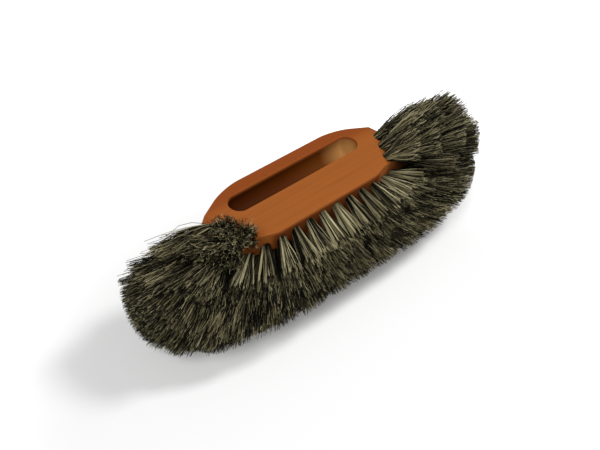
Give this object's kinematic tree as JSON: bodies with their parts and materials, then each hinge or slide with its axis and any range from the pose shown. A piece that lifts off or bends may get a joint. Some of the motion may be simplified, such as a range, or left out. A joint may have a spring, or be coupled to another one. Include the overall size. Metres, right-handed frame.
{
  "type": "furniture brush",
  "caption": "Long wooden hand brush with bevelled ends, a finger groove in each side and coarse bristle tufts fanned around its front and both ends.",
  "frame": {"origin": "centre of the whole brush's box, at the surface that it lies on", "axes": "+X along the block's length, +Y towards the bare edge that the palm holds, +Z out of the upper side face"},
  "size_m": [0.2704, 0.0886, 0.0797],
  "materials": {
    "wood": "satin, oiled",
    "bristle": "stiff natural hair, grey and cream over black-brown"
  },
  "bodies": {
    "root": {"lower_edge_tuft_left_1": "bristle", "lower_edge_tuft_left_2": "bristle", "lower_edge_tuft_left_3": "bristle", "lower_edge_tuft_left_4": "bristle", "lower_edge_tuft_left_5": "bristle", "lower_edge_tuft_left_6": "bristle", "lower_edge_tuft_right_1": "bristle", "lower_edge_tuft_right_2": "bristle", "lower_edge_tuft_right_3": "bristle", "lower_edge_tuft_right_4": "bristle", "lower_edge_tuft_right_5": "bristle", "lower_edge_tuft_right_6": "bristle", "lower_end_tuft_left_1": "bristle", "lower_end_tuft_left_2": "bristle", "lower_end_tuft_right_1": "bristle", "lower_end_tuft_right_2": "bristle", "lower_rim_tuft_left_1": "bristle", "lower_rim_tuft_left_2": "bristle", "lower_rim_tuft_left_3": "bristle", "lower_rim_tuft_right_1": "bristle", "lower_rim_tuft_right_2": "bristle", "lower_rim_tuft_right_3": "bristle", "middle_tuft_centre_0": "bristle", "middle_tuft_left_1": "bristle", "middle_tuft_left_2": "bristle", "middle_tuft_left_3": "bristle", "middle_tuft_left_4": "bristle", "middle_tuft_left_5": "bristle", "middle_tuft_left_6": "bristle", "middle_tuft_right_1": "bristle", "middle_tuft_right_2": "bristle", "middle_tuft_right_3": "bristle", "middle_tuft_right_4": "bristle", "middle_tuft_right_5": "bristle", "middle_tuft_right_6": "bristle", "upper_edge_tuft_left_1": "bristle", "upper_edge_tuft_left_2": "bristle", "upper_edge_tuft_left_3": "bristle", "upper_edge_tuft_left_4": "bristle", "upper_edge_tuft_left_5": "bristle", "upper_edge_tuft_left_6": "bristle", "upper_edge_tuft_right_1": "bristle", "upper_edge_tuft_right_2": "bristle", "upper_edge_tuft_right_3": "bristle", "upper_edge_tuft_right_4": "bristle", "upper_edge_tuft_right_5": "bristle", "upper_edge_tuft_right_6": "bristle", "upper_end_tuft_left_1": "bristle", "upper_end_tuft_left_2": "bristle", "upper_end_tuft_right_1": "bristle", "upper_end_tuft_right_2": "bristle", "upper_rim_tuft_left_1": "bristle", "upper_rim_tuft_left_2": "bristle", "upper_rim_tuft_left_3": "bristle", "upper_rim_tuft_right_1": "bristle", "upper_rim_tuft_right_2": "bristle", "upper_rim_tuft_right_3": "bristle", "wooden_block": "wood"}
  },
  "joints": []
}
